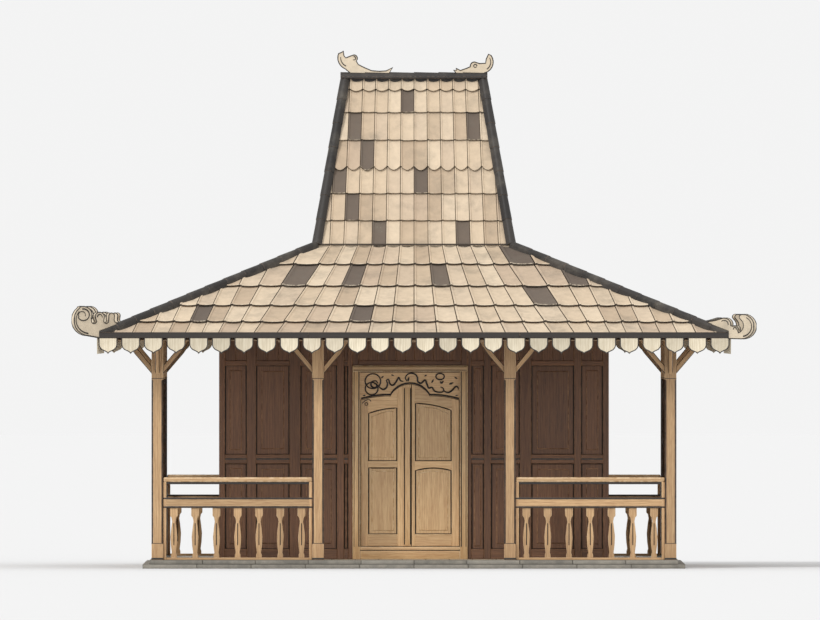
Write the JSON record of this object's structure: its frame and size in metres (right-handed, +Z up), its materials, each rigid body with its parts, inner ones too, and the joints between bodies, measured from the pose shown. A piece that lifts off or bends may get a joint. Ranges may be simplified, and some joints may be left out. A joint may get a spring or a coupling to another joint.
{
  "type": "joglo house",
  "caption": "Timber joglo house with verandah, panelled walls, double door and a two-part hipped tile roof with scroll finials.",
  "frame": {"origin": "on the ground under the middle of the house", "axes": "+X to the right of someone facing the door, +Y from the front to the back, +Z up; the front faces -Y"},
  "size_m": [8.7695, 8.3712, 6.67],
  "materials": {
    "stone": "dressed stone kerb, matt",
    "paving": "stone paving, matt",
    "frame_wood": "planed and oiled teak",
    "rail_wood": "turned and oiled teak",
    "wall_wood": "dark stained teak panelling",
    "door_wood": "light waxed teak",
    "valance_wood": "sawn and painted boards",
    "roof_tile": "unglazed fired clay tiles",
    "roof_cap": "dark fired clay caps"
  },
  "bodies": {
    "house": {"back_post_1": "frame_wood", "back_post_2": "frame_wood", "back_post_3": "frame_wood", "back_post_4": "frame_wood", "back_wall": "wall_wood", "central_frame": "frame_wood", "door_frame": "door_wood", "door_transom": "door_wood", "eave_beam": "frame_wood", "front_post_1": "frame_wood", "front_post_2": "frame_wood", "front_post_3": "frame_wood", "front_post_4": "frame_wood", "front_wall_left": "wall_wood", "front_wall_over_door": "wall_wood", "front_wall_right": "wall_wood", "left_post_back": "frame_wood", "left_post_front": "frame_wood", "left_wall": "wall_wood", "lower_hip_cap_back_left": "roof_cap", "lower_hip_cap_back_right": "roof_cap", "lower_hip_cap_front_left": "roof_cap", "lower_hip_cap_front_right": "roof_cap", "lower_roof_back": "roof_tile", "lower_roof_front": "roof_tile", "lower_roof_left": "roof_tile", "lower_roof_right": "roof_tile", "plinth_base": "stone", "plinth_floor": "paving", "railing_back_left": "rail_wood", "railing_back_middle": "rail_wood", "railing_back_right": "rail_wood", "railing_front_left": "rail_wood", "railing_front_right": "rail_wood", "railing_left_back": "rail_wood", "railing_left_front": "rail_wood", "railing_left_middle": "rail_wood", "railing_right_back": "rail_wood", "railing_right_front": "rail_wood", "railing_right_middle": "rail_wood", "ridge_cap": "roof_cap", "right_post_back": "frame_wood", "right_post_front": "frame_wood", "right_wall": "wall_wood", "upper_hip_cap_back_left": "roof_cap", "upper_hip_cap_back_right": "roof_cap", "upper_hip_cap_front_left": "roof_cap", "upper_hip_cap_front_right": "roof_cap", "upper_roof_back": "roof_tile", "upper_roof_front": "roof_tile", "upper_roof_left": "roof_tile", "upper_roof_right": "roof_tile", "valance_back": "valance_wood", "valance_front": "valance_wood", "valance_left": "valance_wood", "valance_right": "valance_wood"},
    "door_leaf_left": {"door_leaf_left": "door_wood"},
    "door_leaf_right": {"door_leaf_right": "door_wood"}
  },
  "joints": [
    {"name": "left_door_hinge", "type": "hinge", "parent": "house", "child": "door_leaf_left", "pos_m": [-0.686, -1.878, 0.27], "axis": [0, 0, 1], "range_deg": [0, 95]},
    {"name": "right_door_hinge", "type": "hinge", "parent": "house", "child": "door_leaf_right", "pos_m": [0.586, -1.878, 0.27], "axis": [0, 0, -1], "range_deg": [0, 95]}
  ]
}
